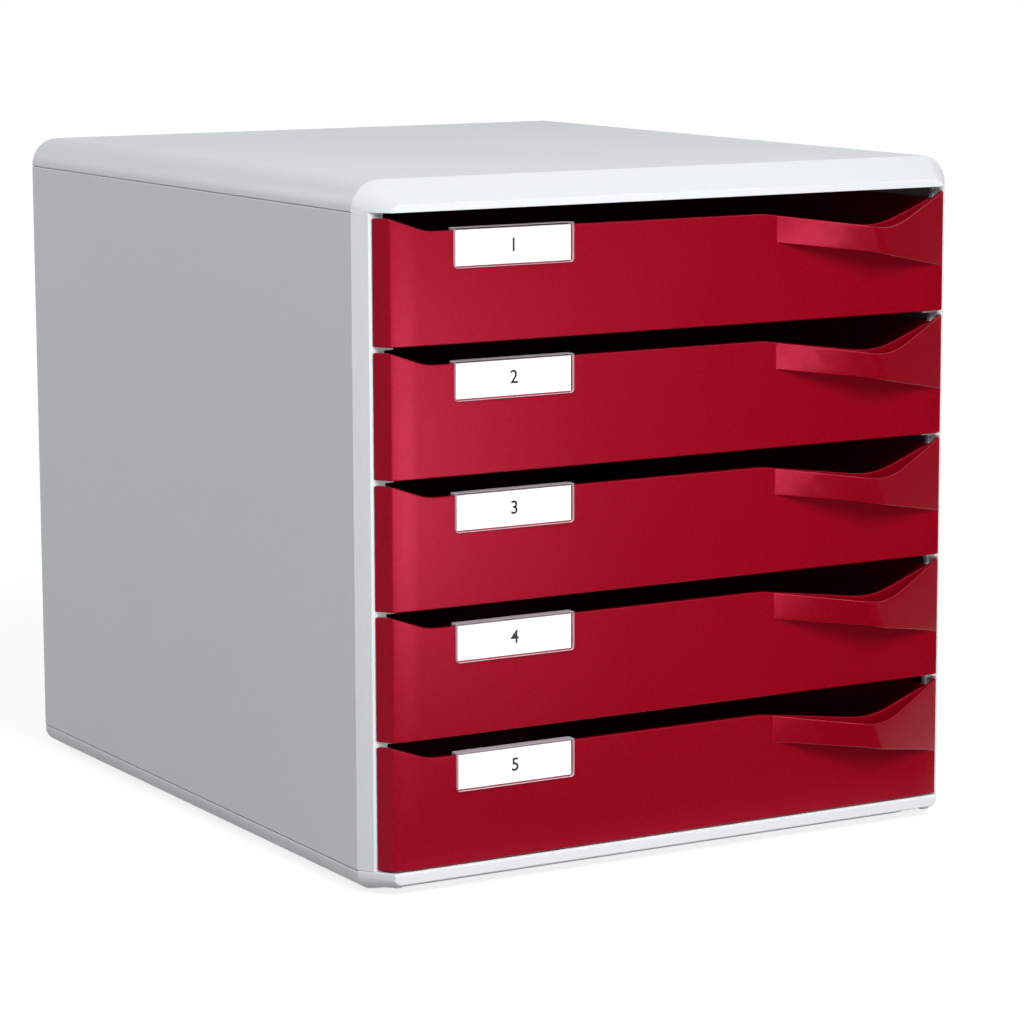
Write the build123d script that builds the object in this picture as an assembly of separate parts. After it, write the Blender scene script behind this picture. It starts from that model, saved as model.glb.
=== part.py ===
from build123d import *
import math
import os

# Desktop drawer unit: a moulded housing with five paper drawers.
# Millimetres. Origin at the middle of the underside, X to the right, Y to the back, Z up.

# Housing
housing_width = 291.0
housing_height = 291.0
housing_depth = 336.5
wall = 3.0
cover_height = 12.6
base_height = 10.4
cover_rounding = 12.5
base_rounding = 7.0
front_cover_rounding = 5.0
front_base_rounding = 3.0
seam_chamfer = 0.6
back_panel_thickness = 2.5
fit_gap = 0.1

# Bevel all round the housing's front
bevel_depth = 14.0
bevel_side = 10.3
bevel_top = 9.6
bevel_base = 3.3
lip_edge_radius = 1.2

# Front flanges and runners beside the drawers
runner_space = 8.8
flange_setback = 7.8
flange_thickness = 2.5
flange_side_gap = 0.5
flange_reveal = 1.2
ledge_overlap = 3.5
ledge_thickness = 1.3
tongue_thickness = 1.8
tongue_gap = 0.7
tongue_height = 3.0
tongue_root = 6.0

# Plinth and foot pads
foot_proud = 0.5
plinth_height = 1.5
plinth_side_inset = 11.5
plinth_back_inset = 12.0
plinth_width = 4.0
plinth_corner = 10.0
foot_radius = 7.0
foot_inset = 14.0
foot_recess = 1.5

# Drawers
drawer_count = 5
drawer_travel = 240.0
front_gap = 2.2
base_gap = 0.6
running_gap = 0.3
front_clearance = 0.4
front_wall = 2.5
return_wall = 2.2
tray_wall = 2.0
tray_floor = 2.0
tray_rim_drop = 3.0
tray_rear_gap = 3.0
tray_rear_corner = 6.0
camber_width = 12.0
camber_depth = 1.0
lug_reach = 3.5
lug_length = 6.0
lug_height = 8.0
lug_rise = 24.0

# Upper edge of a drawer front, as depths below its corners
edge_valley_depth = 5.7
edge_left_run = 16.2
edge_left_radius = 22.0
edge_fall_start = 42.4
edge_fall_radius = 30.0
edge_fall_slope = 0.136
edge_rise_slope = 0.392
edge_rise_radius = 40.0

# Finger pull: the upper right of the front swells forward to a rounded ridge
handle_start = 48.6
handle_ridge = 88.0
handle_reach = 15.5
handle_ridge_radius = 9.0
handle_ridge_lean = 0.5
handle_reach_lean = 0.17
handle_under_start = 18.1
handle_under_ridge = 22.9
handle_under_end = 32.0

# Label windows and cards
window_start = 28.2
window_width = 55.5
window_height = 16.2
window_hook_rise = 1.0
window_thickness = 1.1
window_corner = 1.5
window_hook_length = 5.0
window_hook_thickness = 0.8
card_width = 53.4
card_height = 14.3
card_drop = 1.05
card_thickness = 0.25
card_gap = 0.05

# Places worked out from the sizes above
half_width = housing_width / 2
front_y = -(housing_depth + handle_reach) / 2
face_y = front_y + handle_reach
back_y = face_y + housing_depth
crease_y = face_y + bevel_depth
flange_y = face_y + flange_setback
flange_back_y = flange_y + flange_thickness
base_bottom = foot_proud + plinth_height
cover_bottom = housing_height - cover_height
inner_half = half_width - wall
tray_half = inner_half - runner_space
tray_inner_half = tray_half - tray_wall
flange_half = tray_half + flange_side_gap
ledge_half = tray_half - ledge_overlap
face_half = half_width - bevel_side
bevel_end_half = half_width - bevel_side * (bevel_depth - flange_setback) / bevel_depth
return_half = bevel_end_half - flange_reveal
return_back_y = flange_y - front_clearance
first_bottom = base_height + base_gap
drawer_pitch = (cover_bottom - first_bottom) / drawer_count
front_height = drawer_pitch - front_gap
tray_height = front_height - tray_rim_drop
tray_back_y = back_y - back_panel_thickness - tray_rear_gap
front_inner_y = face_y + front_wall
plinth_half = half_width - plinth_side_inset
plinth_front_y = crease_y
plinth_back_y = back_y - plinth_back_inset


def block(x_low, x_high, y_low, y_high, z_low, z_high):
    """A box between two corners."""
    centre = Pos((x_low + x_high) / 2, (y_low + y_high) / 2, (z_low + z_high) / 2)
    return centre * Box(x_high - x_low, y_high - y_low, z_high - z_low)


def upright(outline, y_low, y_high):
    """Turn an outline drawn in X and Z into a solid between two depths."""
    plane = Plane(origin=(0, y_high, 0), x_dir=(1, 0, 0), z_dir=(0, -1, 0))
    return extrude(plane * outline, amount=y_high - y_low)


def housing_section(y, half, low, high, low_radius, high_radius):
    """The housing's outline across X and Z at one depth."""
    outline = Pos(0, (low + high) / 2) * Rectangle(2 * half, high - low)
    outline = fillet(outline.vertices().group_by(Axis.Y)[-1], high_radius)
    outline = fillet(outline.vertices().group_by(Axis.Y)[0], low_radius)
    plane = Plane(origin=(0, y, 0), x_dir=(1, 0, 0), z_dir=(0, -1, 0))
    return plane * outline


def face_shift(inward, inset):
    """How far an inset of a wall draws in the front end of a bevel."""
    return inset * (math.hypot(inward, bevel_depth) - inward) / bevel_depth


def crease_shift(inset):
    """How far back an inset of a wall moves the side bevel's rear end."""
    return inset * (math.hypot(bevel_side, bevel_depth) - bevel_depth) / bevel_side


def housing_form(inset, back):
    """The whole housing as one bevelled block, drawn in by a wall."""
    rear = crease_y + crease_shift(inset)
    crease = housing_section(
        rear,
        half_width - inset,
        base_bottom + inset,
        housing_height - inset,
        base_rounding - inset,
        cover_rounding - inset,
    )
    face = housing_section(
        face_y + inset,
        face_half - face_shift(bevel_side, inset),
        base_bottom + bevel_base + face_shift(bevel_base, inset),
        housing_height - bevel_top - face_shift(bevel_top, inset),
        front_base_rounding - inset / 2,
        front_cover_rounding - inset / 2,
    )
    front = loft([face, crease], ruled=True)
    body = extrude(crease, amount=back - rear, dir=(0, 1, 0))
    return front + body


def top_cover():
    """Lid with rounded sides, a bevelled front and a short lip over the top drawer."""
    keep = block(-half_width, half_width, face_y, back_y, cover_bottom, housing_height)
    return (housing_form(0, back_y) & keep) - housing_form(wall, back_y - wall)


def plinth_ring():
    """Raised rim under the base tray, on which a stacked unit would sit."""
    length = plinth_back_y - plinth_front_y
    centre = Pos(0, (plinth_front_y + plinth_back_y) / 2, foot_proud)
    outer = RectangleRounded(2 * plinth_half, length, plinth_corner)
    inner_corner = plinth_corner - plinth_width
    inner = RectangleRounded(2 * (plinth_half - plinth_width), length - 2 * plinth_width, inner_corner)
    return centre * extrude(outer - inner, amount=plinth_height)


def foot_places():
    """The middles of the four foot pads, by name."""
    x = plinth_half - foot_inset
    front = plinth_front_y + foot_inset
    rear = plinth_back_y - foot_inset
    return {
        "front_left": (-x, front),
        "front_right": (x, front),
        "rear_left": (-x, rear),
        "rear_right": (x, rear),
    }


def base_tray():
    """Floor of the housing, with its front lip, the lowest runners and the plinth."""
    keep_points = [
        (-half_width, base_bottom),
        (-half_width, base_height - seam_chamfer),
        (-half_width + seam_chamfer, base_height),
        (half_width - seam_chamfer, base_height),
        (half_width, base_height - seam_chamfer),
        (half_width, base_bottom),
    ]
    keep = upright(make_face(Polyline(*keep_points, close=True)), face_y, back_y)
    shell = (housing_form(0, back_y) & keep) - housing_form(wall, back_y - wall)
    rim_edges = shell.edges().filter_by(Axis.X).group_by(Axis.Z)[-1]
    shell = fillet(rim_edges.sort_by(Axis.Y)[0], lip_edge_radius)
    runner_top = first_bottom - running_gap
    for side in (-1, 1):
        edges = sorted((side * ledge_half, side * tray_half))
        runner_floor = base_bottom + wall / 2
        shell += block(edges[0], edges[1], face_y + wall, back_y - wall, runner_floor, runner_top)
    shell += plinth_ring()
    for x, y in foot_places().values():
        recess = Cylinder(foot_radius + fit_gap, foot_recess, align=(Align.CENTER, Align.CENTER, Align.MIN))
        shell -= Pos(x, y, base_bottom) * recess
    return shell


def foot_pad(x, y):
    """Round rubber pad set in the base tray's underside, a little proud of the plinth."""
    height = base_bottom + foot_recess - fit_gap
    pad = Cylinder(foot_radius, height, align=(Align.CENTER, Align.CENTER, Align.MIN))
    pad = fillet(pad.edges().group_by(Axis.Z)[0], foot_proud / 2)
    return Pos(x, y, 0) * pad


def left_side_wall():
    """Side shell with its bevelled front edge, front flange, runner ledges and seam tongues."""
    slant_wall = wall * math.hypot(bevel_side, bevel_depth) / bevel_depth
    inner_flange_half = half_width - (crease_y - flange_back_y) * bevel_side / bevel_depth - slant_wall
    plan_points = [
        (-half_width, back_y),
        (-half_width, crease_y),
        (-bevel_end_half, flange_y),
        (-flange_half, flange_y),
        (-flange_half, flange_back_y),
        (-inner_flange_half, flange_back_y),
        (-inner_half, crease_y + crease_shift(wall)),
        (-inner_half, back_y),
    ]
    side_points = [
        (-half_width, base_height),
        (-half_width, cover_bottom - seam_chamfer),
        (-half_width + seam_chamfer, cover_bottom),
        (0, cover_bottom),
        (0, base_height),
    ]
    shell = extrude(make_face(Polyline(*plan_points, close=True)), amount=housing_height)
    shell &= upright(make_face(Polyline(*side_points, close=True)), flange_y, back_y)
    ledge_back = back_y - back_panel_thickness - fit_gap
    ledge_points = [
        (-ledge_half, flange_y),
        (-ledge_half, ledge_back),
        (-inner_half - wall / 2, ledge_back),
        (-inner_half - wall / 2, crease_y + wall),
        (-bevel_end_half, flange_y),
    ]
    ledge_outline = make_face(Polyline(*ledge_points, close=True))
    for index in range(1, drawer_count):
        ledge_top = first_bottom + index * drawer_pitch - running_gap
        ledge = Pos(0, 0, ledge_top - ledge_thickness) * extrude(ledge_outline, amount=ledge_thickness)
        shell += ledge
    tongue_outer = inner_half - tongue_gap
    tongue_inner = tongue_outer - tongue_thickness
    tongue_front = crease_y + wall
    tongue_back = back_y - wall - tongue_gap
    for seam, up in ((cover_bottom, 1), (base_height, -1)):
        root_end = seam - up * tongue_root
        tip = seam + up * tongue_height
        root = sorted((root_end, seam))
        tongue = sorted((root_end, tip))
        shell += block(-inner_half, -tongue_inner, tongue_front, tongue_back, root[0], root[1])
        shell += block(-tongue_outer, -tongue_inner, tongue_front, tongue_back, tongue[0], tongue[1])
    return shell


def back_panel():
    """Plate that closes the housing between the side walls."""
    half = inner_half - fit_gap
    low = base_height + fit_gap
    high = cover_bottom - fit_gap
    return block(-half, half, back_y - back_panel_thickness, back_y, low, high)


def rounded_polygon(points, corners):
    """Polygon with a radius at some of its corners, given as (point, radius)."""
    outline = make_face(Polyline(*points, close=True))
    for point, radius in corners:
        nearest = outline.vertices().sort_by_distance(Vector(*point))[0]
        outline = fillet(nearest, radius)
    return outline


def edge_area():
    """Everything below a drawer front's upper edge, returns included."""
    high = front_height
    valley = high - edge_valley_depth
    left_foot = (-face_half + edge_left_run, valley)
    fall = (edge_fall_start, valley)
    rise = edge_rise_slope * face_half - edge_valley_depth + edge_fall_slope * edge_fall_start
    dip_x = rise / (edge_rise_slope + edge_fall_slope)
    dip = (dip_x, high - edge_rise_slope * (face_half - dip_x))
    side = return_half + return_wall
    points = [
        (-side, 0),
        (-side, high),
        (-face_half, high),
        left_foot,
        fall,
        dip,
        (face_half, high),
        (side, high),
        (side, 0),
    ]
    corners = [
        (left_foot, edge_left_radius),
        (fall, edge_fall_radius),
        (dip, edge_rise_radius),
    ]
    return rounded_polygon(points, corners)


def tangent_point(point, centre, radius, turn):
    """Where a line from a point touches a circle, on the side given by turn."""
    run = point[0] - centre[0]
    rise = point[1] - centre[1]
    angle = math.atan2(rise, run) + turn * math.acos(radius / math.hypot(run, rise))
    return centre[0] + radius * math.cos(angle), centre[1] + radius * math.sin(angle)


def handle_plan(height, inset):
    """Outline of the finger pull from above at one height, drawn in by a wall."""
    ridge_depth = edge_valley_depth + edge_fall_slope * (handle_ridge - edge_fall_start)
    below = front_height - ridge_depth - height
    ridge_x = handle_ridge + handle_ridge_lean * below
    reach = handle_reach - handle_reach_lean * below
    centre = (ridge_x, face_y - reach + handle_ridge_radius)
    radius = handle_ridge_radius - inset
    start = (handle_start, face_y + inset)
    end = (tray_inner_half, face_y + inset) if inset else (face_half, face_y + camber_depth)
    back = front_inner_y + inset
    first = tangent_point(start, centre, radius, 1)
    last = tangent_point(end, centre, radius, -1)
    crown = (centre[0], centre[1] - radius)
    edges = [
        Line(start, first),
        ThreePointArc(first, crown, last),
        Line(last, end),
        Line(end, (end[0], back)),
        Line((end[0], back), (start[0], back)),
        Line((start[0], back), start),
    ]
    return Pos(0, 0, height) * make_face(edges)


def handle_form(inset):
    """The finger pull's swelling as a solid: its ridge leans, so it is a ruled loft."""
    low = front_height - handle_under_end - front_wall
    swelling = loft([handle_plan(low, inset), handle_plan(front_height + front_wall, inset)], ruled=True)
    side = return_half + return_wall
    points = [
        (0, front_height - handle_under_start + inset),
        (handle_start, front_height - handle_under_start + inset),
        (handle_ridge, front_height - handle_under_ridge + inset),
        (face_half, front_height - handle_under_end + inset),
        (side, front_height - handle_under_end + inset),
        (side, front_height + 2 * front_wall),
        (0, front_height + 2 * front_wall),
    ]
    above = upright(make_face(Polyline(*points, close=True)), front_y - wall, flange_y)
    return swelling & above


def front_plan():
    """Outline of a drawer front from above: slanted returns, softly turned ends, flat middle."""
    radius = (camber_width**2 + camber_depth**2) / (2 * camber_depth)
    half_turn = math.asin(camber_width / radius) / 2
    flat_half = face_half - camber_width
    middle_x = flat_half + radius * math.sin(half_turn)
    middle_y = face_y + radius * (1 - math.cos(half_turn))
    corner_y = face_y + camber_depth
    edges = [
        Line((-return_half, return_back_y), (-face_half, corner_y)),
        ThreePointArc((-face_half, corner_y), (-middle_x, middle_y), (-flat_half, face_y)),
        Line((-flat_half, face_y), (flat_half, face_y)),
        ThreePointArc((flat_half, face_y), (middle_x, middle_y), (face_half, corner_y)),
        Line((face_half, corner_y), (return_half, return_back_y)),
        Line((return_half, return_back_y), (-return_half, return_back_y)),
    ]
    return make_face(edges)


def drawer_front():
    """Front panel with its returns and the hollow finger pull."""
    panel = extrude(front_plan(), amount=front_height)
    inner_face = face_half - return_wall
    inner_back = return_half - return_wall
    hollow_points = [
        (-inner_back, return_back_y),
        (-inner_face, front_inner_y),
        (inner_face, front_inner_y),
        (inner_back, return_back_y),
    ]
    panel -= extrude(make_face(Polyline(*hollow_points, close=True)), amount=front_height)
    panel += handle_form(0)
    panel -= handle_form(front_wall)
    return panel & upright(edge_area(), front_y - wall, flange_y)


def drawer_tray():
    """Open tray with a rounded rear and a stop lug on each side."""
    overlap = front_wall / 2
    length = tray_back_y - front_inner_y + overlap
    centre = Pos(0, tray_back_y - length / 2, 0)
    body = centre * extrude(Rectangle(2 * tray_half, length), amount=tray_height)
    rear = body.edges().filter_by(Axis.Z).group_by(Axis.Y)[-1]
    body = fillet(rear, tray_rear_corner)
    inner_length = tray_back_y - tray_wall - front_inner_y
    inner_centre = Pos(0, front_inner_y + inner_length / 2, tray_floor)
    inner = inner_centre * extrude(Rectangle(2 * tray_inner_half, inner_length), amount=front_height)
    inner_rear = inner.edges().filter_by(Axis.Z).group_by(Axis.Y)[-1]
    body -= fillet(inner_rear, tray_rear_corner - tray_wall)
    lug_y = flange_back_y + drawer_travel + running_gap
    for side in (-1, 1):
        reach = sorted((side * (tray_half - tray_wall / 2), side * (tray_half + lug_reach)))
        body += block(reach[0], reach[1], lug_y, lug_y + lug_length, lug_rise, lug_rise + lug_height)
    return body


def drawer():
    """One drawer as it leaves the mould, with its bottom at height zero."""
    return drawer_front() + (drawer_tray() & upright(edge_area(), front_y, back_y))


def label_window():
    """Clear cover that hooks over the upper edge of a drawer front."""
    left = -face_half + window_start
    right = left + window_width
    edge = front_height - edge_valley_depth
    high = edge + window_hook_rise
    pocket = card_thickness + 2 * card_gap
    outer_y = face_y - window_thickness - pocket
    plate = block(left, right, outer_y, face_y - card_gap, high - window_height, high)
    low_corners = plate.edges().filter_by(Axis.Y).group_by(Axis.Z)[0]
    plate = fillet(low_corners, window_corner)
    card_left = left + (window_width - card_width) / 2
    plate -= block(
        card_left - card_gap,
        card_left + card_width + card_gap,
        outer_y + window_thickness,
        face_y,
        high - card_drop - card_height - card_gap,
        high - card_drop + card_gap,
    )
    leg_y = front_inner_y + fit_gap
    leg_back_y = leg_y + window_hook_thickness
    plate += block(left, right, face_y - window_thickness, leg_back_y, edge + card_gap, high)
    plate += block(left, right, leg_y, leg_back_y, high - window_hook_length, high)
    return plate


def label_card():
    """White card held between a drawer front and its label window."""
    left = -face_half + window_start + (window_width - card_width) / 2
    high = front_height - edge_valley_depth + window_hook_rise - card_drop
    back = face_y - card_gap
    return block(left, left + card_width, back - card_thickness, back, high - card_height, high)


def housing_pieces():
    """The fixed pieces, by name."""
    left_wall = left_side_wall()
    pieces = {
        "top_cover": top_cover(),
        "base_tray": base_tray(),
        "left_side_wall": left_wall,
        "right_side_wall": mirror(left_wall, Plane.YZ),
        "back_panel": back_panel(),
    }
    for place, (x, y) in foot_places().items():
        pieces[f"foot_pad_{place}"] = foot_pad(x, y)
    return pieces


def drawer_pieces():
    """The drawers with their windows and cards, by name, counted from the top."""
    moulding = drawer()
    window = label_window()
    card = label_card()
    pieces = {}
    for number in range(1, drawer_count + 1):
        place = Pos(0, 0, first_bottom + (drawer_count - number) * drawer_pitch)
        pieces[f"drawer_{number}"] = place * moulding
        pieces[f"label_window_{number}"] = place * window
        pieces[f"label_card_{number}"] = place * card
    return pieces


os.makedirs("parts", exist_ok=True)
for name, shape in (housing_pieces() | drawer_pieces()).items():
    export_step(shape, f"parts/{name}.step")
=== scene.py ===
# Desktop drawer unit: a grey moulded housing with five dark red paper drawers.
# Metres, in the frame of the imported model: X to the right, Y to the back, Z up.
import math

import bmesh
import bpy
from mathutils import Matrix, Vector
from mathutils.bvhtree import BVHTree


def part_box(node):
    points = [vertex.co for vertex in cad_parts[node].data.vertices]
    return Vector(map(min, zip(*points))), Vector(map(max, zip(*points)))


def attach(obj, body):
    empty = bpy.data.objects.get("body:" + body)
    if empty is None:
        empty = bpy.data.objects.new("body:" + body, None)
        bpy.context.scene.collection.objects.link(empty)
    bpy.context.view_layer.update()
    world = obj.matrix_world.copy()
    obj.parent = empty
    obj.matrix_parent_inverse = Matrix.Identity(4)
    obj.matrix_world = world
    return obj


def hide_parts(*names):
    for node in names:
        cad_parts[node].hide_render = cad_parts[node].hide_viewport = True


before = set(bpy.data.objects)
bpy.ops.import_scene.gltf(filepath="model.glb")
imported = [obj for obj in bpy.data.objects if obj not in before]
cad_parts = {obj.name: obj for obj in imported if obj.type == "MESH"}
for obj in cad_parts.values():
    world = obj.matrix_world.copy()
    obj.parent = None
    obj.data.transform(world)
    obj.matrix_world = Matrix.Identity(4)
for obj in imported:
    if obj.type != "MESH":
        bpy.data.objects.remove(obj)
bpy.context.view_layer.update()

scene = bpy.context.scene
scene.view_settings.view_transform = "Standard"


# Base tray
# Injection-moulded in light grey plastic: the floor of the housing, with the front lip under the
# lowest drawer, two runner ribs and a plinth rim. The side walls' tongues snap into its edges.
housing_colour = (0.630, 0.650, 0.665)
housing_shade = (0.612, 0.632, 0.647)
housing_roughness = 0.42
housing_specular = 0.35
housing_edge = 0.0005
grain_size = 0.00055
grain_depth = 0.000005
grain_strength = 0.5
cloud_size = 0.06
gloss_sway = 0.04
speckle_from, speckle_to = 0.32, 0.68
cloud_from, cloud_to = 0.15, 0.85


def colour(rgb):
    """A linear colour with its alpha."""
    return (*rgb, 1.0)


def link(tree, source, output, target, entry):
    """Join two sockets of a node tree."""
    tree.links.new(source.outputs[output], target.inputs[entry])


def node_with(tree, kind, values):
    """A node with the given values on its inputs."""
    node = tree.nodes.new(kind)
    for name, value in values.items():
        node.inputs[name].default_value = value
    return node


def new_material(name):
    """A new material, its node tree and its surface shader."""
    material = bpy.data.materials.new(name)
    material.use_nodes = True
    return material, material.node_tree, material.node_tree.nodes["Principled BSDF"]


def two_tone(tree, dark, light):
    """A mix of two colours, for a mask to choose between."""
    tint = tree.nodes.new("ShaderNodeMix")
    tint.data_type = "RGBA"
    tint.inputs["A"].default_value = colour(dark)
    tint.inputs["B"].default_value = colour(light)
    return tint


def moulded_grain_group():
    """Fine eroded grain of a mould, with the slow unevenness of a large moulded face."""
    tree = bpy.data.node_groups.new("moulded_grain", "ShaderNodeTree")
    for name, value in (("Grain Size", grain_size), ("Cloud Size", cloud_size)):
        socket = tree.interface.new_socket(name, in_out="INPUT", socket_type="NodeSocketFloat")
        socket.default_value = value
    # Each output, the size that it follows, its density, its detail and its roughness
    layers = (
        ("Height", "Grain Size", 1.0, 3.0, 0.6),
        ("Speckle", "Grain Size", 0.4, 1.0, 0.5),
        ("Cloud", "Cloud Size", 1.0, 2.0, 0.5),
    )
    for output, *_ in layers:
        tree.interface.new_socket(output, in_out="OUTPUT", socket_type="NodeSocketFloat")
    entry = tree.nodes.new("NodeGroupInput")
    leave = tree.nodes.new("NodeGroupOutput")
    place = tree.nodes.new("ShaderNodeTexCoord")
    for output, size_name, density, detail, roughness in layers:
        scale = tree.nodes.new("ShaderNodeMath")
        scale.operation = "DIVIDE"
        scale.inputs[0].default_value = density
        link(tree, entry, size_name, scale, 1)
        noise = node_with(tree, "ShaderNodeTexNoise", {"Detail": detail, "Roughness": roughness})
        link(tree, place, "Object", noise, "Vector")
        link(tree, scale, 0, noise, "Scale")
        link(tree, noise, "Fac", leave, output)
    return tree


moulded_grain = moulded_grain_group()


def moulded_plastic(name, light, dark, roughness, specular, depth, size):
    """Satin moulded plastic: a speckled colour, a fine grain in relief and an uneven gloss."""
    material, tree, shader = new_material(name)
    shader.inputs["Specular IOR Level"].default_value = specular
    grain = tree.nodes.new("ShaderNodeGroup")
    grain.node_tree = moulded_grain
    grain.inputs["Grain Size"].default_value = size
    grain.inputs["Cloud Size"].default_value = cloud_size
    tint = two_tone(tree, dark, light)
    spread = node_with(
        tree, "ShaderNodeMapRange", {"From Min": speckle_from, "From Max": speckle_to}
    )
    link(tree, grain, "Speckle", spread, "Value")
    link(tree, spread, "Result", tint, "Factor")
    link(tree, tint, "Result", shader, "Base Color")
    gloss = node_with(tree, "ShaderNodeMapRange", {"From Min": cloud_from, "From Max": cloud_to})
    gloss.inputs["To Min"].default_value = roughness - gloss_sway
    gloss.inputs["To Max"].default_value = roughness + gloss_sway
    link(tree, grain, "Cloud", gloss, "Value")
    link(tree, gloss, "Result", shader, "Roughness")
    relief = node_with(tree, "ShaderNodeBump", {"Strength": grain_strength, "Distance": depth})
    link(tree, grain, "Height", relief, "Height")
    link(tree, relief, "Normal", shader, "Normal")
    return material


def soften_edges(piece, edge_radius, turn_limit):
    """A round on the edges that turn by more than a number of degrees."""
    soften = piece.modifiers.new("softened edges", "BEVEL")
    soften.width = edge_radius
    soften.segments = 2
    soften.limit_method = "ANGLE"
    soften.angle_limit = math.radians(turn_limit)
    soften.use_clamp_overlap = False


def finished_mesh(piece, name):
    """The plain mesh that an object's modifiers or letters make."""
    evaluated = piece.evaluated_get(bpy.context.evaluated_depsgraph_get())
    mesh = bpy.data.meshes.new_from_object(evaluated)
    mesh.name = name
    return mesh


def set_back_strays(mesh, source, stray_limit):
    """Where several edges meet, set a softened corner that left the moulding back on it."""
    moulding = BVHTree.FromPolygons(
        [vertex.co for vertex in source.data.vertices],
        [tuple(face.vertices) for face in source.data.polygons],
    )
    low, high = Vector(source.bound_box[0]), Vector(source.bound_box[6])
    for vertex in mesh.vertices:
        nearest, _, _, stray = moulding.find_nearest(vertex.co)
        if stray > stray_limit:
            vertex.co = nearest
        vertex.co = [min(max(vertex.co[axis], low[axis]), high[axis]) for axis in range(3)]


def moulded_copy(node, edge_radius, turn_limit):
    """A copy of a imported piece, with its triangles joined and its moulded edges softened."""
    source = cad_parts[node]
    mesh = source.data.copy()
    mesh.name = f"{node}_moulded"
    shape = bmesh.new()
    shape.from_mesh(mesh)
    bmesh.ops.remove_doubles(shape, verts=shape.verts, dist=2e-6)
    flat = math.radians(0.05)
    bmesh.ops.dissolve_limit(shape, angle_limit=flat, verts=shape.verts, edges=shape.edges)
    bmesh.ops.join_triangles(
        shape,
        faces=[face for face in shape.faces if len(face.verts) == 3],
        angle_face_threshold=math.radians(4),
        angle_shape_threshold=math.radians(75),
    )
    for face in shape.faces:
        face.smooth = True
    shape.to_mesh(mesh)
    shape.free()
    mesh.materials.clear()
    piece = bpy.data.objects.new(f"{node}_moulded", mesh)
    scene.collection.objects.link(piece)
    soften_edges(piece, edge_radius, turn_limit)
    softened = finished_mesh(piece, f"{node}_softened")
    set_back_strays(softened, source, 0.6 * edge_radius)
    piece.modifiers.clear()
    piece.data = softened
    even = piece.modifiers.new("even shading", "WEIGHTED_NORMAL")
    even.mode = "FACE_AREA"
    even.weight = 50
    return piece


grey_plastic = moulded_plastic(
    "grey_housing_plastic",
    housing_colour,
    housing_shade,
    housing_roughness,
    housing_specular,
    grain_depth,
    grain_size,
)

base_tray = moulded_copy("base_tray", housing_edge, turn_limit=32)
base_tray.data.materials.append(grey_plastic)
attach(base_tray, "housing")
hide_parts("base_tray")


# Foot pads
# Four round black rubber pads pressed into shallow recesses under the base tray, a little proud
# of the plinth. They are all alike, so one pad is set on the corners of a grid.
foot_radius = 0.007
foot_rounding = 0.00025
foot_sides = 48
foot_front_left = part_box("foot_pad_front_left")
foot_rear_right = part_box("foot_pad_rear_right")
foot_middle = (foot_front_left[0] + foot_rear_right[1]) / 2
foot_sizes = {
    "Radius": foot_radius,
    "Height": foot_front_left[1][2] - foot_front_left[0][2],
    "Span X": foot_rear_right[1][0] - foot_front_left[0][0] - 2 * foot_radius,
    "Span Y": foot_rear_right[1][1] - foot_front_left[0][1] - 2 * foot_radius,
}
rubber_colour = (0.035, 0.035, 0.036)
rubber_shade = (0.018, 0.018, 0.019)
rubber_roughness = 0.8
rubber_specular = 0.3
rubber_grain_depth = 0.00005
rubber_grain_size = 0.0008


def shape_tree(name, sizes):
    """A Geometry Nodes tree with named length inputs, and the two nodes at its ends."""
    tree = bpy.data.node_groups.new(name, "GeometryNodeTree")
    tree.interface.new_socket("Geometry", in_out="INPUT", socket_type="NodeSocketGeometry")
    for size_name, value in sizes.items():
        socket = tree.interface.new_socket(
            size_name, in_out="INPUT", socket_type="NodeSocketFloat"
        )
        socket.default_value = value
    tree.interface.new_socket("Geometry", in_out="OUTPUT", socket_type="NodeSocketGeometry")
    return tree, tree.nodes.new("NodeGroupInput"), tree.nodes.new("NodeGroupOutput")


def finish_tree(tree, last, output, leave, material):
    """End a tree with real geometry in one material."""
    realize = tree.nodes.new("GeometryNodeRealizeInstances")
    paint = tree.nodes.new("GeometryNodeSetMaterial")
    paint.inputs["Material"].default_value = material
    link(tree, last, output, realize, "Geometry")
    link(tree, realize, "Geometry", paint, "Geometry")
    link(tree, paint, "Geometry", leave, "Geometry")


def shape_from_tree(name, tree, sizes, edge_radius):
    """Run a tree with its own sizes, soften its edges, and keep the result as a plain mesh."""
    piece = bpy.data.objects.new(name, bpy.data.meshes.new(name))
    scene.collection.objects.link(piece)
    nodes = piece.modifiers.new("shape", "NODES")
    nodes.node_group = tree
    for socket in tree.interface.items_tree:
        if socket.in_out == "INPUT" and socket.name in sizes:
            nodes[socket.identifier] = sizes[socket.name]
    soften_edges(piece, edge_radius, turn_limit=40)
    mesh = finished_mesh(piece, name)
    piece.modifiers.clear()
    piece.data = mesh
    return piece


def foot_pad_tree(material):
    """Four cylinders on the corners of a grid."""
    tree, entry, leave = shape_tree("foot_pads", foot_sizes)
    pad = node_with(tree, "GeometryNodeMeshCylinder", {"Vertices": foot_sides})
    link(tree, entry, "Radius", pad, "Radius")
    link(tree, entry, "Height", pad, "Depth")
    corners = node_with(tree, "GeometryNodeMeshGrid", {"Vertices X": 2, "Vertices Y": 2})
    link(tree, entry, "Span X", corners, "Size X")
    link(tree, entry, "Span Y", corners, "Size Y")
    spread = tree.nodes.new("GeometryNodeInstanceOnPoints")
    link(tree, corners, "Mesh", spread, "Points")
    link(tree, pad, "Mesh", spread, "Instance")
    finish_tree(tree, spread, "Instances", leave, material)
    return tree


black_rubber = moulded_plastic(
    "black_rubber",
    rubber_colour,
    rubber_shade,
    rubber_roughness,
    rubber_specular,
    rubber_grain_depth,
    rubber_grain_size,
)

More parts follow.
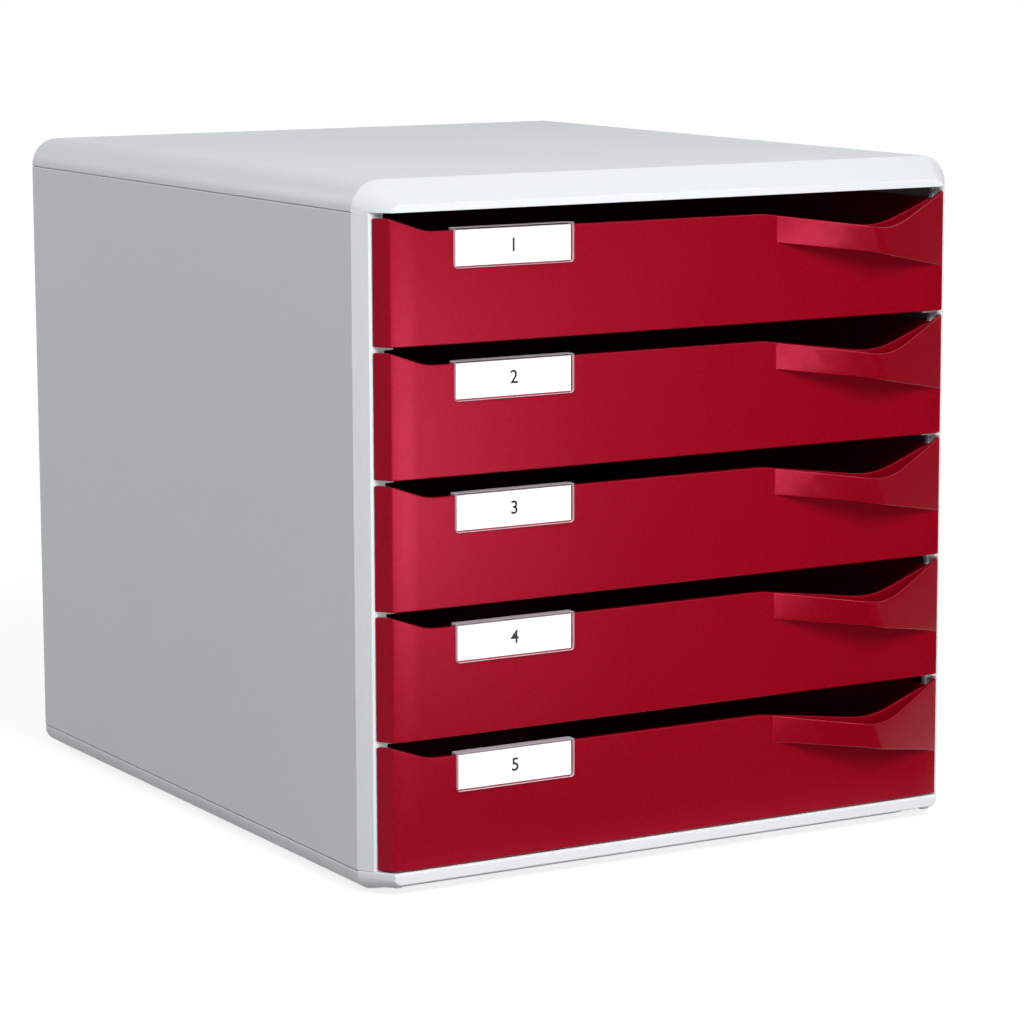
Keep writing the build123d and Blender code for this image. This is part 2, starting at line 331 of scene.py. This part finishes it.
foot_pads = shape_from_tree("foot_pads", foot_pad_tree(black_rubber), foot_sizes, foot_rounding)
foot_pads.data.transform(Matrix.Translation(foot_middle))
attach(foot_pads, "housing")
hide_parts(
    "foot_pad_front_left",
    "foot_pad_front_right",
    "foot_pad_rear_left",
    "foot_pad_rear_right",
)


# Side walls
# Two grey mouldings, mirror images of each other, which stand on the base tray. Each has a
# slanted front edge, a narrow flange beside the drawers, and the ledges that the drawers run on.
wall_edge = 0.0002

for side in ("left_side_wall", "right_side_wall"):
    side_wall = moulded_copy(side, wall_edge, turn_limit=20)
    side_wall.data.materials.append(grey_plastic)
    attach(side_wall, "housing")
    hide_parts(side)


# Back panel
# A plain plate of the same grey plastic, slid in between the side walls from behind. It closes
# the housing and keeps it square.
back_panel = moulded_copy("back_panel", housing_edge, turn_limit=30)
back_panel.data.materials.append(grey_plastic)
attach(back_panel, "housing")
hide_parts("back_panel")


# Top cover
# The lid of the housing, snapped over the tongues of the side walls. Its long sides are rounded,
# and its front slopes down in a broad bevel to a short lip over the top drawer.
cover_edge = 0.0002

top_cover = moulded_copy("top_cover", cover_edge, turn_limit=25)
top_cover.data.materials.append(grey_plastic)
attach(top_cover, "housing")
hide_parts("top_cover")


# Drawers
# Each drawer is one moulding in dark red plastic: an open tray with a tall front, slanted at its
# ends to meet the flanges. The upper right of the front swells out to a rounded finger pull.
drawer_colour = (0.236, 0.0002, 0.008)
drawer_shade = (0.196, 0.0001, 0.005)
drawer_sheen = (1.0, 0.10, 0.22)
drawer_roughness = 0.31
drawer_specular = 0.75
drawer_grain_depth = 0.000035
drawer_grain_size = 0.0006
drawer_edge = 0.0005
drawer_numbers = range(1, 6)

red_plastic = moulded_plastic(
    "red_drawer_plastic",
    drawer_colour,
    drawer_shade,
    drawer_roughness,
    drawer_specular,
    drawer_grain_depth,
    drawer_grain_size,
)
red_shader = red_plastic.node_tree.nodes["Principled BSDF"]
red_shader.inputs["Specular Tint"].default_value = colour(drawer_sheen)

for number in drawer_numbers:
    drawer = moulded_copy(f"drawer_{number}", drawer_edge, turn_limit=15)
    drawer.data.materials.append(red_plastic)
    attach(drawer, f"drawer_{number}")
    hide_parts(f"drawer_{number}")


# Label cards
# A strip of thin white card behind each label window, with the drawer's number printed in the
# middle in plain black figures.
card_light = (0.95, 0.95, 0.95)
card_dark = (0.86, 0.86, 0.86)
fibre_density = 900.0
fibre_strength = 0.3
fibre_depth = 0.00002
ink_light = (0.010, 0.010, 0.010)
ink_dark = (0.002, 0.002, 0.002)
ink_mottle_density = 2500.0
figure_height = 0.0054
figure_share_of_type = 0.7
figure_weight = 0.00012
ink_thickness = 0.00004
ink_sink = 0.00002


def paper():
    """Uncoated white card with faint fibres."""
    material, tree, shader = new_material("white_card_paper")
    shader.inputs["Roughness"].default_value = 0.85
    shader.inputs["Specular IOR Level"].default_value = 0.2
    place = tree.nodes.new("ShaderNodeTexCoord")
    fibres = node_with(tree, "ShaderNodeTexNoise", {"Scale": fibre_density, "Detail": 4.0})
    tint = two_tone(tree, card_dark, card_light)
    relief = node_with(
        tree, "ShaderNodeBump", {"Strength": fibre_strength, "Distance": fibre_depth}
    )
    link(tree, place, "Object", fibres, "Vector")
    link(tree, fibres, "Fac", tint, "Factor")
    link(tree, tint, "Result", shader, "Base Color")
    link(tree, fibres, "Fac", relief, "Height")
    link(tree, relief, "Normal", shader, "Normal")
    return material


def ink():
    """Black printing ink, a little uneven."""
    material, tree, shader = new_material("black_ink")
    shader.inputs["Roughness"].default_value = 0.6
    shader.inputs["Specular IOR Level"].default_value = 0.2
    place = tree.nodes.new("ShaderNodeTexCoord")
    mottle = node_with(tree, "ShaderNodeTexNoise", {"Scale": ink_mottle_density, "Detail": 2.0})
    tint = two_tone(tree, ink_dark, ink_light)
    link(tree, place, "Object", mottle, "Vector")
    link(tree, mottle, "Fac", tint, "Factor")
    link(tree, tint, "Result", shader, "Base Color")
    return material


card_paper = paper()
card_ink = ink()


def printed_figure(text, low, high):
    """A figure in thin raised ink, centred on a card's front face."""
    letters = bpy.data.curves.new("figure", "FONT")
    letters.body = text
    letters.align_x = "CENTER"
    letters.align_y = "CENTER"
    letters.size = figure_height / figure_share_of_type
    letters.extrude = ink_thickness / 2
    letters.offset = figure_weight
    source = bpy.data.objects.new("figure", letters)
    scene.collection.objects.link(source)
    mesh = finished_mesh(source, "figure")
    bpy.data.objects.remove(source)
    middle = Vector(((low[0] + high[0]) / 2, low[1], (low[2] + high[2]) / 2))
    middle.y += ink_sink - ink_thickness / 2
    mesh.transform(Matrix.Translation(middle) @ Matrix.Rotation(math.pi / 2, 4, "X"))
    return mesh


for number in drawer_numbers:
    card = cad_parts[f"label_card_{number}"]
    for slot in card.material_slots:
        slot.material = card_paper
    card_low, card_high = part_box(f"label_card_{number}")
    figure_mesh = printed_figure(str(number), card_low, card_high)
    figure_mesh.materials.clear()
    figure_mesh.materials.append(card_ink)
    figure = bpy.data.objects.new(f"card_figure_{number}", figure_mesh)
    scene.collection.objects.link(figure)
    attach(figure, f"drawer_{number}")


# Label windows
# Clear moulded plastic covers that hook over the upper edge of each drawer front and hold the
# card against it. Each has a shallow pocket behind for the card, and rounded lower corners.
# Painted highlight: this greyish pink shows almost only on the window's edges, standing in for the
# light and red reflection that real clear edges gather.
painted_edge_highlight = (0.86, 0.76, 0.83)
window_roughness = 0.12
window_ior = 1.49
window_edge = 0.0002
face_on, edge_on = 0.98, 0.60
face_alpha, edge_alpha = 0.02, 0.75
wave_density = 120.0
wave_strength = 0.2
wave_depth = 0.00002


def clear_plastic():
    """Clear moulded plastic: all but unseen face on, with a painted highlight of opaque greyish
    pink on its edges where they turn from the front.
    """
    material, tree, shader = new_material("clear_window_plastic")
    shader.inputs["Base Color"].default_value = colour(painted_edge_highlight)
    shader.inputs["Roughness"].default_value = window_roughness
    shader.inputs["IOR"].default_value = window_ior
    place = tree.nodes.new("ShaderNodeTexCoord")
    split = tree.nodes.new("ShaderNodeSeparateXYZ")
    link(tree, place, "Normal", split, "Vector")
    facing = tree.nodes.new("ShaderNodeMath")
    facing.operation = "ABSOLUTE"
    link(tree, split, "Y", facing, 0)
    body = node_with(tree, "ShaderNodeMapRange", {"From Min": face_on, "From Max": edge_on})
    body.inputs["To Min"].default_value = face_alpha
    body.inputs["To Max"].default_value = edge_alpha
    link(tree, facing, 0, body, "Value")
    link(tree, body, "Result", shader, "Alpha")
    waves = node_with(tree, "ShaderNodeTexNoise", {"Scale": wave_density, "Detail": 1.0})
    relief = node_with(tree, "ShaderNodeBump", {"Strength": wave_strength, "Distance": wave_depth})
    link(tree, place, "Object", waves, "Vector")
    link(tree, waves, "Fac", relief, "Height")
    link(tree, relief, "Normal", shader, "Normal")
    return material


window_plastic = clear_plastic()
for number in drawer_numbers:
    window = moulded_copy(f"label_window_{number}", window_edge, turn_limit=40)
    window.data.materials.append(window_plastic)
    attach(window, f"drawer_{number}")
    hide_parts(f"label_window_{number}")


# Floor
# A plain white studio floor. It keeps the unit's soft shadow near its foot, and runs out to the
# plain white of the background.
white = (1.0, 1.0, 1.0)
floor_grey = (0.3, 0.3, 0.3)
floor_glow = 0.80
floor_radius = 3.0
floor_sides = 96
shadow_radius = 0.22
white_radius = 0.75


def seen_rays(tree):
    """One for what the eye sees, directly, in a reflection or through a clear piece; else zero."""
    paths = tree.nodes.new("ShaderNodeLightPath")
    direct = tree.nodes.new("ShaderNodeMath")
    direct.operation = "ADD"
    link(tree, paths, "Is Camera Ray", direct, 0)
    link(tree, paths, "Is Glossy Ray", direct, 1)
    seen = tree.nodes.new("ShaderNodeMath")
    seen.operation = "ADD"
    seen.use_clamp = True
    link(tree, direct, 0, seen, 0)
    link(tree, paths, "Is Transmission Ray", seen, 1)
    return seen


def studio_floor():
    """White floor that takes shadows near the unit and is plain white far from it."""
    material, tree, shader = new_material("studio_floor")
    tree.nodes.remove(shader)
    finish = tree.nodes["Material Output"]
    place = tree.nodes.new("ShaderNodeTexCoord")
    distance = tree.nodes.new("ShaderNodeVectorMath")
    distance.operation = "LENGTH"
    link(tree, place, "Object", distance, "Vector")
    fade = node_with(
        tree, "ShaderNodeMapRange", {"From Min": shadow_radius, "From Max": white_radius}
    )
    fade.interpolation_type = "SMOOTHSTEP"
    link(tree, distance, "Value", fade, "Value")
    matt = node_with(tree, "ShaderNodeBsdfDiffuse", {"Color": colour(floor_grey)})
    glow = node_with(tree, "ShaderNodeEmission", {"Color": colour(white), "Strength": floor_glow})
    near = tree.nodes.new("ShaderNodeAddShader")
    link(tree, matt, 0, near, 0)
    link(tree, glow, 0, near, 1)
    far = node_with(tree, "ShaderNodeEmission", {"Color": colour(white), "Strength": 1.0})
    seen = tree.nodes.new("ShaderNodeMixShader")
    link(tree, fade, "Result", seen, 0)
    link(tree, near, 0, seen, 1)
    link(tree, far, 0, seen, 2)
    choice = tree.nodes.new("ShaderNodeMixShader")
    link(tree, seen_rays(tree), 0, choice, 0)
    link(tree, matt, 0, choice, 1)
    link(tree, seen, 0, choice, 2)
    link(tree, choice, 0, finish, "Surface")
    return material


floor_shape = bmesh.new()
bmesh.ops.create_circle(floor_shape, cap_ends=True, radius=floor_radius, segments=floor_sides)
floor_mesh = bpy.data.meshes.new("floor")
floor_shape.to_mesh(floor_mesh)
floor_shape.free()
floor_mesh.materials.append(studio_floor())
floor = bpy.data.objects.new("floor", floor_mesh)
scene.collection.objects.link(floor)


# Studio light
# A white surround and soft boxes, most of them high up. A small one stands low in front for the
# sheen of the finger pulls. A black cloth hangs on the right and lies on the floor before the
# unit, where only reflections see it.
surround_tint = (0.97, 0.985, 1.0)
surround_strength = 0.165
unit_middle = (0.0, -0.1, 0.15)
pulls_middle = (0.045, -0.1, 0.15)
cloth_light = (0.014, 0.014, 0.014)
cloth_dark = (0.008, 0.008, 0.008)
thread_density = 400.0
cloth_front, cloth_back = -1.45, -0.15
hanging_x, hanging_height = 0.75, 0.45
lying_left, lying_right, lying_back = -0.15, 0.74, -0.20
lying_height = 0.001


def studio_world():
    """White to the eye and in reflections, and a dimmer even light on the object."""
    world = bpy.data.worlds.new("studio")
    world.use_nodes = True
    tree = world.node_tree
    tree.nodes.clear()
    finish = tree.nodes.new("ShaderNodeOutputWorld")
    bright = node_with(tree, "ShaderNodeBackground", {"Color": colour(white), "Strength": 1.0})
    even = node_with(
        tree,
        "ShaderNodeBackground",
        {"Color": colour(surround_tint), "Strength": surround_strength},
    )
    choice = tree.nodes.new("ShaderNodeMixShader")
    link(tree, seen_rays(tree), 0, choice, 0)
    link(tree, even, 0, choice, 1)
    link(tree, bright, 0, choice, 2)
    link(tree, choice, 0, finish, "Surface")
    return world


scene.world = studio_world()


def soft_box(name, place, aim, side, power, tint):
    """A square lamp with its side in metres, aimed at a point."""
    lamp = bpy.data.lights.new(name, "AREA")
    lamp.shape = "RECTANGLE"
    lamp.size, lamp.size_y = side
    lamp.energy = power
    lamp.color = tint
    holder = bpy.data.objects.new(name, lamp)
    holder.location = place
    toward = Vector(aim) - Vector(place)
    holder.rotation_euler = toward.to_track_quat("-Z", "Y").to_euler()
    holder.visible_camera = False
    scene.collection.objects.link(holder)


def black_cloth():
    """Black cloth with a faint weave."""
    material, tree, shader = new_material("black_cloth")
    shader.inputs["Roughness"].default_value = 1.0
    place = tree.nodes.new("ShaderNodeTexCoord")
    threads = node_with(tree, "ShaderNodeTexNoise", {"Scale": thread_density})
    tint = two_tone(tree, cloth_dark, cloth_light)
    link(tree, place, "Object", threads, "Vector")
    link(tree, threads, "Fac", tint, "Factor")
    link(tree, tint, "Result", shader, "Base Color")
    return material


def black_flag():
    """A hanging and a lying sheet, seen only in reflections, which keep white off the drawers."""
    hanging = [
        (hanging_x, cloth_front, 0.0),
        (hanging_x, cloth_back, 0.0),
        (hanging_x, cloth_back, hanging_height),
        (hanging_x, cloth_front, hanging_height),
    ]
    lying = [
        (lying_left, cloth_front, lying_height),
        (lying_right, cloth_front, lying_height),
        (lying_right, lying_back, lying_height),
        (lying_left, lying_back, lying_height),
    ]
    mesh = bpy.data.meshes.new("black_flag")
    mesh.from_pydata(hanging + lying, [], [(0, 1, 2, 3), (4, 5, 6, 7)])
    mesh.materials.append(black_cloth())
    flag = bpy.data.objects.new("black_flag", mesh)
    flag.visible_camera = False
    flag.visible_diffuse = False
    flag.visible_shadow = False
    scene.collection.objects.link(flag)


soft_box("high_front_box", (0.0, -1.5, 1.2), unit_middle, (0.7, 0.7), 20.0, white)
soft_box("left_front_box", (-0.55, -1.15, 0.85), unit_middle, (0.5, 0.5), 6.3, white)
soft_box("left_box", (-1.73, -1.0, 1.08), unit_middle, (1.0, 1.0), 3.8, white)
soft_box("low_front_box", (0.045, -0.66, 0.10), pulls_middle, (0.2, 0.18), 1.0, white)
soft_box("left_rear_box", (-1.25, 1.35, 0.9), unit_middle, (0.8, 0.8), 12.0, (0.96, 0.99, 1.0))
soft_box("right_box", (0.95, -0.1, 1.7), unit_middle, (0.8, 0.8), 3.0, (0.88, 0.98, 1.0))
black_flag()


# Camera
# Where the photograph was taken from: in front of the unit, to its left, a little above it.
camera_place = (-0.826659, -1.452092, 0.395966)
camera_turn = 30.0242
camera_dip = 9.1866
camera_roll = -0.1912
camera_lens = 130.704
sensor_width = 36.0
farthest_seen = 50.0

camera_data = bpy.data.cameras.new("camera")
camera_data.sensor_width = sensor_width
camera_data.lens = camera_lens
camera_data.clip_end = farthest_seen
camera = bpy.data.objects.new("camera", camera_data)
camera.matrix_world = (
    Matrix.Translation(camera_place)
    @ Matrix.Rotation(math.radians(-camera_turn), 4, "Z")
    @ Matrix.Rotation(math.radians(90 - camera_dip), 4, "X")
    @ Matrix.Rotation(math.radians(camera_roll), 4, "Z")
)
scene.collection.objects.link(camera)
scene.camera = camera
